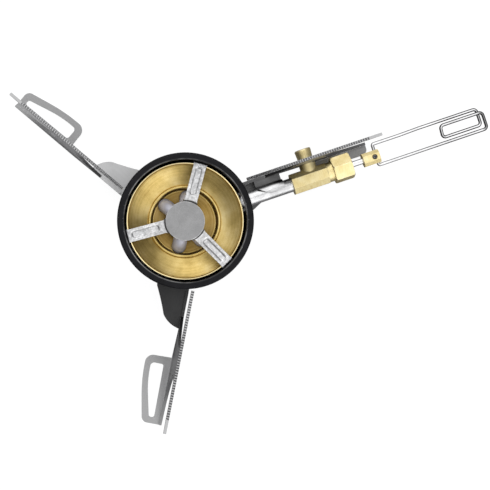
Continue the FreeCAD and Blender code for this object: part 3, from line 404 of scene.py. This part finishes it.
def sheet_steel(name, turn, plate, foot, web, rail_start):
    """Rolled steel sheet: fine grain and smudges, with painted light and shade per leg near the
    burner and on upright faces, a painted highlight along the fold, and painted shade between the
    rail's teeth.
    """
    shader = Shader(name)
    grain = shader.noise(shader.place((60.0, 2600.0, 900.0), -turn), detail=6.0, rough=0.65)
    smudge = shader.noise(shader.place(), scale=45.0, detail=5.0)
    speck = shader.noise(shader.place(), scale=1500.0, detail=2.0, rough=0.5)
    tone = shader.blend(grain, smudge, 0.5)
    radius = shader.radius()
    height = shader.along("Z")
    # Painted light and shade: the leg's own plate tone near the burner, and a darker web tone on
    # upright faces
    level = shader.mix(shader.rise(radius, *PLATE_FADE), grey(plate), grey(foot))
    colour = shader.mix(shader.facing_up(), web_colour(shader, grain, web), level)
    # Painted light and shade on the rail's end near the burner, shaded on two legs and lit on the
    # third
    rail = shader.mix(shader.rise(radius, *RAIL_FADE), grey(rail_start), grey(RAIL_TONE))
    on_rail = shader.rise(height, *before(RAIL_TOP, RAIL_DEPTHS))
    colour = shader.mix(on_rail, colour, rail)
    colour = shader.mix(1.0, colour, shader.vary(tone, 0.88, 1.12), "MULTIPLY")
    # Painted shade between the rail's teeth
    roots = shader.fall(height, *before(RAIL_TOP, TOOTH_SHADE_DEPTHS))
    colour = shader.mix(shader.product(roots, on_rail, TOOTH_SHADE_SHARE), colour, PAINTED_SHADE)
    relief = shader.math("ADD", grain, shader.product(speck, 0.3))
    return shader.surface(
        Metallic=1.0, Anisotropic=0.3, Base_Color=colour,
        Roughness=shader.vary(tone, 0.34, 0.52),
        Normal=shader.bump(relief, strength=0.14, distance=0.05 * MM))


def bright_steel(name, dark, light, rough=(0.16, 0.34), metal=1.0, blue=GREY_BLUE):
    """Drawn or turned steel with faint lines round it; less `metal` gives a dull, scaled skin."""
    shader = Shader(name)
    lines = shader.noise(shader.place((2600.0, 120.0, 120.0)))
    smudge = shader.noise(shader.place(), scale=90.0)
    return shader.surface(
        Metallic=metal, Base_Color=shader.greys(smudge, dark, light, blue),
        Roughness=shader.vary(lines, *rough),
        Normal=shader.bump(lines, strength=0.08, distance=0.03 * MM))


def wire_steel(name, hinge, coil):
    """Bent wire with a painted highlight on top and painted shade on its sides, getting darker
    from x = hinge to x = coil, and a painted dark reflection on the coil's end bar.
    """
    shader = Shader(name)
    lines = shader.noise(shader.place((2600.0, 400.0, 400.0)))
    smudge = shader.noise(shader.place(), scale=120.0)
    x = shader.along("X")
    # Painted shade on the wire's sides, darker towards the coil
    sides = shader.mix(shader.rise(x, hinge, coil), grey(0.38), grey(0.03))
    # Painted dark reflection on the coil's end bar
    bar = shader.span(x, 0.0, 0.75, coil + COIL_BAR[0], coil + COIL_BAR[1])
    top = shader.mix(bar, shader.greys(smudge, 0.62, 0.84), grey(0.06))
    # Painted highlight on top of the wire
    on_top = shader.facing_up(low=0.86, high=1.0)
    return shader.surface(
        Metallic=1.0, Base_Color=shader.mix(on_top, sides, top),
        Roughness=shader.vary(lines, 0.14, 0.24),
        Normal=shader.bump(lines, strength=0.06, distance=0.03 * MM))


def clip_steel(name, tube_side):
    """Sheet clip: bright where it wraps the tube, with painted shade from the tube's side to the
    leg.
    """
    shader = Shader(name)
    grain = shader.noise(shader.place((120.0, 1500.0, 1500.0)), detail=5.0)
    smudge = shader.noise(shader.place(), scale=120.0)
    tone = shader.blend(grain, smudge, 0.5)
    wrap = shader.ramp(tone, ((0.36, grey(0.28)), (0.5, grey(0.52)), (0.64, grey(0.82))))
    # Painted shade on the flange, from the tube's side to the leg
    flange = shader.greys(tone, 0.08, 0.13)
    shaded = shader.rise(shader.along("Y"), *before(tube_side, CLIP_FADE))
    return shader.surface(
        Metallic=1.0, Base_Color=shader.mix(shaded, wrap, flange),
        Roughness=shader.vary(tone, 0.28, 0.42),
        Normal=shader.bump(grain, strength=0.08, distance=0.03 * MM))


def pressed_steel(name):
    """Stamped sheet: a satin disc in the middle, arms with a bright mottled skin, and a painted
    shadow line where the arms step up from the disc.
    """
    shader = Shader(name)
    mottle = shader.noise(shader.place(), scale=760.0, detail=3.0, rough=0.55)
    grain = shader.noise(shader.place(), scale=2600.0, rough=0.7)
    smudge = shader.noise(shader.place(), scale=120.0)
    tone = shader.blend(shader.blend(mottle, smudge, 0.65), grain, 0.75)
    arms = shader.ramp(tone, ((0.34, grey(0.30)), (0.5, grey(0.52)), (0.64, grey(0.80))))
    satin = shader.greys(shader.blend(grain, smudge, 0.5), 0.20, 0.34)
    radius = shader.radius()
    on_arm = shader.rise(radius, *before(DISC_RADIUS, DISC_FADE))
    # Painted shadow line at the step from the disc up to the arms
    step = shader.near(radius, DISC_RADIUS + STEP_LINE, *STEP_LINE_HALVES)
    colour = shader.mix(shader.product(step, 0.7), shader.mix(on_arm, satin, arms), PAINTED_SHADE)
    relief = shader.product(shader.blend(mottle, grain, 0.8), on_arm)
    return shader.surface(
        Metallic=1.0, Base_Color=colour,
        Roughness=shader.vary(tone, 0.44, 0.32),
        Normal=shader.bump(relief, strength=0.55, distance=0.12 * MM))


def spun_brass(name):
    """Brass turned on a lathe: rings round the burner's axis, with painted shade in the well, a
    painted shadow line at its edge and a painted highlight on the rim.
    """
    shader = Shader(name)
    radius = shader.radius()
    fine = shader.lines(radius, scale=5200.0, detail=5.0, rough=0.7)
    broad = shader.lines(radius, scale=900.0, detail=2.0, rough=0.5)
    smudge = shader.noise(shader.flat_place(), scale=70.0, detail=5.0)
    tone = shader.blend(shader.blend(fine, broad, 0.75), smudge, 0.5)
    # Painted shade in the well
    in_well = shader.fall(radius, *before(WELL_RADIUS, WELL_FADE))
    colour = shader.mix(in_well, shader.ramp(tone, SPUN_BRASS), WELL_SHADE, "MULTIPLY")
    # Painted shadow line at the well's edge
    line = shader.near(radius, WELL_RADIUS, *WELL_LINE_HALVES)
    colour = shader.mix(shader.product(line, 0.1), colour, WELL_SHADOW_LINE)
    # Painted highlight on the rolled rim
    on_rim = shader.rise(radius, *before(RIM_RADIUS, RIM_FADE))
    colour = shader.mix(on_rim, colour, RIM_HIGHLIGHT_BRASS)
    rings = shader.add("ShaderNodeTangent", direction_type="RADIAL", axis="Z")
    return shader.surface(
        Metallic=1.0, Anisotropic=0.85, Tangent=rings.outputs[0], Base_Color=colour,
        Roughness=shader.vary(tone, 0.28, 0.40),
        Normal=shader.bump(fine, strength=0.14, distance=0.05 * MM))


def machined_brass(name):
    """Milled brass bar with fine tool lines and slightly tarnished patches."""
    shader = Shader(name)
    lines = shader.noise(shader.place((3200.0, 260.0, 260.0)), detail=5.0)
    smudge = shader.noise(shader.place(), scale=160.0, detail=5.0)
    tone = shader.blend(lines, smudge, 0.4)
    return shader.surface(
        Metallic=1.0, Base_Color=shader.ramp(tone, MACHINED_BRASS),
        Roughness=shader.vary(tone, 0.38, 0.50),
        Normal=shader.bump(lines, strength=0.12, distance=0.04 * MM))


def rim_highlight(shader):
    """1 on the painted highlight along the inner edge of the cup's rim, broken into patches."""
    line = shader.near(shader.radius(), RIM_RADIUS + RIM_HIGHLIGHT_LINE, *RIM_HIGHLIGHT_HALVES)
    breakup = shader.noise(shader.place(), scale=45.0, detail=3.0)
    patches = shader.span(breakup, low=0.15, high=1.0, start=0.42, end=0.58)
    on_top = shader.rise(shader.along("Z"), *before(CUP_TOP, RIM_HIGHLIGHT_DEPTHS))
    return shader.product(line, patches, on_top)


def black_coating(name):
    """Black baked coating with fine orange peel and dust, and a painted grey highlight along the
    inner edge of the cup's rim.
    """
    shader = Shader(name)
    peel = shader.noise(shader.place(), scale=900.0, detail=3.0, rough=0.5)
    dust = shader.noise(shader.place(), scale=260.0, detail=6.0, rough=0.7)
    return shader.surface(
        Specular_IOR_Level=0.11,
        # Painted highlight along the inner edge of the cup's rim
        Base_Color=shader.mix(rim_highlight(shader), shader.ramp(dust, COATING), grey(0.24)),
        Roughness=shader.span(dust, low=0.24, high=0.50, start=0.35, end=0.65),
        Normal=shader.bump(peel, strength=0.35, distance=0.08 * MM))


def worn_edge(name, colour):
    """Rubbed strip along an outer edge."""
    shader = Shader(name)
    rub = shader.noise(shader.place(), scale=700.0, rough=0.7)
    dark = tuple(value * 0.7 for value in colour)
    return shader.surface(
        Metallic=1.0, Base_Color=shader.ramp(rub, ((0.35, dark), (0.65, colour))),
        Roughness=shader.vary(rub, 0.42, 0.24),
        Normal=shader.bump(rub, strength=0.1, distance=0.03 * MM))


def felt(name):
    """Pressed fibres with faint blotches."""
    shader = Shader(name)
    fibre = shader.noise(shader.place((1.0, 1.0, 3.0)), scale=1400.0, detail=6.0, rough=0.8)
    blotch = shader.noise(shader.place(), scale=120.0)
    return shader.surface(
        Sheen_Weight=0.4, Base_Color=shader.ramp(blotch, FELT),
        Roughness=shader.span(fibre, low=0.85, high=1.0, start=0.0, end=1.0),
        Normal=shader.bump(fibre, strength=0.8, distance=0.3 * MM))


def dark_seal(name, dark, light):
    """Grainy dark packing or rubber."""
    shader = Shader(name)
    grain = shader.noise(shader.place(), scale=1100.0)
    return shader.surface(
        Base_Color=shader.greys(grain, dark, light),
        Roughness=shader.vary(grain, 0.45, 0.7),
        Normal=shader.bump(grain, strength=0.25, distance=0.05 * MM))


def round_edges(piece, width, angle, slot):
    """Bevel the edges of a piece that are sharper than an angle, in one of its materials."""
    bevel = piece.modifiers.new("bevel", "BEVEL")
    bevel.width = width
    bevel.segments = EDGE_SEGMENTS
    bevel.limit_method = "ANGLE"
    bevel.angle_limit = math.radians(angle)
    bevel.material = slot


def dress(name, surface, edge=None, width=0.0):
    """Give a CAD node its material and, with an edge material, softly rounded edges in that."""
    piece = frame["nodes"][name]
    piece.data.materials.clear()
    piece.data.materials.append(surface)
    if edge:
        piece.data.materials.append(edge)
        weld = piece.modifiers.new("weld", "WELD")
        weld.merge_threshold = WELD_GAP
        round_edges(piece, width, EDGE_ANGLE, 1)
        smooth = piece.modifiers.new("smooth", "WEIGHTED_NORMAL")
        smooth.weight = NORMAL_WEIGHT


def all_looks():
    """Material, edge material and edge width, by node name or by a material slot of the record."""
    fitting = bright_steel("bright_steel", 0.56, 0.74, rough=(0.16, 0.30))
    tube = bright_steel("tube_steel", 0.40, 0.78, rough=(0.24, 0.36))
    arches = bright_steel("arch_steel", 0.34, 0.58, rough=(0.40, 0.54), metal=0.3, blue=1.14)
    brass_edge = worn_edge("brass_edge", RUBBED_BRASS)
    steel_edge = worn_edge("steel_edge", grey(0.72))
    coat_edge = worn_edge("coat_edge", grey(0.50))
    wire_low, wire_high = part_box("wire_handle")
    tube_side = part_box("fuel_tube")[1].y
    looks = {
        "bright_steel": (fitting, fitting, FITTING_EDGE),
        "brass": (machined_brass("machined_brass"), brass_edge, BRASS_EDGE),
        "black_coating": (black_coating("black_coating"), coat_edge, COATING_EDGE),
        "wire_handle": (wire_steel("wire_steel", wire_low.x, wire_high.x - COIL_LENGTH),),
        "tube_clip": (clip_steel("clip_steel", tube_side),),
        "tube_steel": (tube,),
        "vaporiser_arches": (arches,),
        "roll_pin": (bright_steel("pin_steel", 0.06, 0.16),),
        "spreader_steel": (pressed_steel("pressed_steel"),),
        "spun_brass": (spun_brass("spun_brass"),),
        "felt": (felt("felt"),),
        "graphite": (dark_seal("graphite", 0.06, 0.14),),
        "seal_rubber": (dark_seal("seal_rubber", 0.02, 0.05),),
    }
    for name, tones in LEGS.items():
        looks[name] = (sheet_steel("steel_" + name, **tones), steel_edge, LEG_EDGE)
    return looks


def dress_all(looks):
    """Dress every CAD node by its own name or by the material slot that the record gives it."""
    for part in frame["record"]["subparts"]:
        name = part["node"]
        look = name if name in looks else part["material_slot"]
        dress(name, *looks[look])


def smoothstep(value):
    value = min(max(value, 0.0), 1.0)
    return value * value * (3.0 - 2.0 * value)


def channel_relief(along, across):
    """Height of the pressed channel and its raised lip at a place on an arm."""
    middle = (CHANNEL_START + CHANNEL_END) / 2
    reach = (CHANNEL_END - CHANNEL_START) / 2 - CHANNEL_CORNER
    past_end = abs(along - middle) - reach
    past_side = abs(across) - (CHANNEL_HALF - CHANNEL_CORNER)
    outside = math.hypot(max(past_end, 0.0), max(past_side, 0.0))
    distance = outside + min(max(past_end, past_side), 0.0) - CHANNEL_CORNER
    floor = -CHANNEL_DEPTH * smoothstep(-distance / CHANNEL_WALL)
    lip = LIP_HEIGHT * math.exp(-((distance - LIP_WIDTH / 2) / LIP_WIDTH * 2.0) ** 2)
    return floor + lip


def arm_section(step):
    """Distance along the arm and height of its skin, from the disc's edge to the tab's end."""
    straight = ARM_REACH - ARM_BEND - DISC_RADIUS
    bend = ARM_BEND * math.pi / 2
    length = step * (straight + bend + ARM_TAB)
    if length < straight:
        along = DISC_RADIUS + length
        return along, DISC_DROP * (smoothstep((along - DISC_RADIUS) / STEP_RUN) - 1.0)
    angle = min((length - straight) / ARM_BEND, math.pi / 2)
    drop = max(length - straight - bend, 0.0)
    along = DISC_RADIUS + straight + ARM_BEND * math.sin(angle)
    return along, -ARM_BEND * (1.0 - math.cos(angle)) - drop


def arm_half_width(along):
    """Half of an arm's width, flared at its root and towards its tab."""
    root = ROOT_FLARE * (1.0 - smoothstep((along - DISC_RADIUS) / ROOT_FLARE_RUN))
    end = END_FLARE * smoothstep((along - ARM_REACH + END_FLARE_LENGTH) / END_FLARE_RUN)
    return ARM_HALF + root + end


def disc_angles():
    """Angles round the disc: the columns of each arm, and an even spread between the arms."""
    half = math.asin((ARM_HALF + ROOT_FLARE) / DISC_RADIUS)
    gap = math.tau / len(ARM_ANGLES) - 2 * half
    angles = []
    for arm in ARM_ANGLES:
        middle = math.radians(arm)
        angles += [middle + half * (2 * i / ARM_COLUMNS - 1) for i in range(ARM_COLUMNS + 1)]
        angles += [middle + half + gap * i / ARM_COLUMNS for i in range(1, ARM_COLUMNS)]
    return angles


def disc_circle(mesh, radius, height):
    """Vertices round the disc at one radius."""
    return [mesh.verts.new(Vector((radius * math.cos(angle), radius * math.sin(angle), height)))
            for angle in disc_angles()]


def spreader_disc(mesh, height):
    """Fan round the disc's middle, with rings of faces outside it. It returns the last circle."""
    middle = mesh.verts.new(Vector((0.0, 0.0, height)))
    circles = [disc_circle(mesh, share * DISC_RADIUS, height) for share in DISC_CIRCLES]
    count = len(circles[0])
    for i in range(count):
        mesh.faces.new((middle, circles[0][i], circles[0][(i + 1) % count]))
    for inner, outer in zip(circles, circles[1:]):
        for i in range(count):
            follow = (i + 1) % count
            mesh.faces.new((inner[i], outer[i], outer[follow], inner[follow]))
    return circles[-1]


def spreader_arm(mesh, angle, row, top):
    """Rows of one arm, from its row of vertices on the disc's edge outwards."""
    out = Vector((math.cos(angle), math.sin(angle), 0.0))
    side = Vector((-math.sin(angle), math.cos(angle), 0.0))
    for j in range(1, ARM_ROWS + 1):
        along, height = arm_section(j / ARM_ROWS)
        half = arm_half_width(along)
        curved = max(1.0 - j / CURVED_ROWS, 0.0)
        fresh = []
        for i in range(ARM_COLUMNS + 1):
            across = half * (2 * i / ARM_COLUMNS - 1)
            curve = (math.sqrt(DISC_RADIUS ** 2 - across ** 2) - DISC_RADIUS) * curved
            relief = channel_relief(along, across)
            place = out * (along + curve) + side * across
            fresh.append(mesh.verts.new(place + Vector((0.0, 0.0, top + height + relief))))
        for i in range(ARM_COLUMNS):
            mesh.faces.new((row[i], fresh[i], fresh[i + 1], row[i + 1]))
        row = fresh


def spreader_skin():
    """Upper skin of the spreader: the disc, and three arms that start on the disc's edge."""
    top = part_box("flame_spreader")[1].z - LIP_HEIGHT
    mesh = bmesh.new()
    rim = spreader_disc(mesh, top - DISC_DROP)
    for number, arm in enumerate(ARM_ANGLES):
        first = number * 2 * ARM_COLUMNS
        spreader_arm(mesh, math.radians(arm), rim[first:first + ARM_COLUMNS + 1], top)
    bmesh.ops.recalc_face_normals(mesh, faces=mesh.faces)
    data = bpy.data.meshes.new("spreader_plate")
    mesh.to_mesh(data)
    mesh.free()
    data.transform(Matrix.Translation(BURNER))
    data.polygons.foreach_set("use_smooth", [True] * len(data.polygons))
    return data


def flame_spreader(material):
    """Pressed plate over the burner, in place of the plain one."""
    data = spreader_skin()
    data.materials.append(material)
    plate = bpy.data.objects.new("spreader_plate", data)
    bpy.context.scene.collection.objects.link(plate)
    sheet = plate.modifiers.new("sheet", "SOLIDIFY")
    sheet.thickness = ARM_SHEET
    sheet.offset = -1.0
    round_edges(plate, SPREADER_EDGE, SPREADER_EDGE_ANGLE, 0)
    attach(plate, "stove")
    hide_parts("flame_spreader")


def camera_turn():
    """Turn from the camera's axes to the frame's."""
    turn = Matrix.Identity(3)
    for degrees, axis in ((CAMERA_TILT_Y, "Y"), (CAMERA_TILT_X, "X"), (CAMERA_ROLL, "Z")):
        turn = turn @ Matrix.Rotation(math.radians(degrees), 3, axis)
    return turn.transposed()


def photo_camera(to_world):
    """Camera above the stove, turned and tilted as in the photograph."""
    data = bpy.data.cameras.new("photo_camera")
    data.sensor_width = SENSOR_WIDTH
    data.lens = FOCAL_PIXELS / FRAME_PIXELS * SENSOR_WIDTH
    data.clip_start = CAMERA_NEAR
    camera = bpy.data.objects.new("photo_camera", data)
    bpy.context.scene.collection.objects.link(camera)
    place = BURNER + to_world @ (Vector((0.0, 0.0, CAMERA_DISTANCE)) - CAMERA_SHIFT)
    camera.matrix_world = Matrix.Translation(place) @ to_world.to_4x4()
    bpy.context.scene.camera = camera


def pale_floor(name):
    """White paper that looks bright but throws little light back at the metal."""
    shader = Shader(name)
    paper = shader.greys(shader.noise(shader.place(), scale=30.0, detail=5.0), 0.97, 1.0)
    seen = shader.add("ShaderNodeLightPath").outputs["Is Camera Ray"]
    tone = shader.ramp(seen, ((0.0, grey(FLOOR_BOUNCE)), (1.0, grey(FLOOR_PAPER))))
    return shader.surface(
        Roughness=0.9, Specular_IOR_Level=0.1,
        Base_Color=shader.mix(1.0, tone, paper, "MULTIPLY"),
        Emission_Color=WHITE, Emission_Strength=shader.product(seen, FLOOR_SEEN))


def sky(to_world):
    """Soft boxes on a dim sky, with a pale backdrop where the camera sees it directly."""
    world = bpy.data.worlds.new("studio")
    bpy.context.scene.world = world
    world.use_nodes = True
    nodes = Nodes(world.node_tree)
    ray = nodes.add("ShaderNodeTexCoord").outputs["Generated"]
    light = SKY_BASE
    for direction, start, full, strength in SOFT_BOXES:
        cosine = nodes.add("ShaderNodeVectorMath", operation="DOT_PRODUCT")
        cosine.inputs[1].default_value = to_world @ Vector(direction).normalized()
        nodes.link(ray, cosine.inputs[0])
        glow = nodes.span(cosine.outputs["Value"], 0.0, strength, start, full,
                          interpolation_type="SMOOTHSTEP")
        light = nodes.math("ADD", glow, light)
    seen = nodes.add("ShaderNodeLightPath").outputs["Is Camera Ray"]
    choose = nodes.add("ShaderNodeMix")
    nodes.put(choose.inputs[0], seen)
    nodes.put(choose.inputs[2], light)
    nodes.put(choose.inputs[3], SKY_SEEN)
    nodes.fill(world.node_tree.nodes["Background"], Color=WHITE, Strength=choose.outputs[0])


def studio(to_world):
    """Pale floor under a sky of soft boxes."""
    bpy.ops.mesh.primitive_plane_add(size=FLOOR_SIZE, location=(0.0, 0.0, 0.0))
    floor = bpy.context.object
    floor.name = "floor"
    floor.data.materials.append(pale_floor("floor_paper"))
    sky(to_world)
    bpy.context.scene.view_settings.view_transform = "Standard"


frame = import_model()

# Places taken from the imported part
BOWL_LOW, BOWL_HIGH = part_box("burner_bowl")
BURNER = Vector(((BOWL_LOW.x + BOWL_HIGH.x) / 2, (BOWL_LOW.y + BOWL_HIGH.y) / 2, 0.0))
RIM_RADIUS = (BOWL_HIGH.x - BOWL_LOW.x) / 2
RAIL_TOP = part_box("leg_fixed")[1].z
CUP_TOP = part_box("burner_cup")[1].z

stove_looks = all_looks()
dress_all(stove_looks)
flame_spreader(stove_looks["spreader_steel"][0])
view_turn = camera_turn()
photo_camera(view_turn)
studio(view_turn)
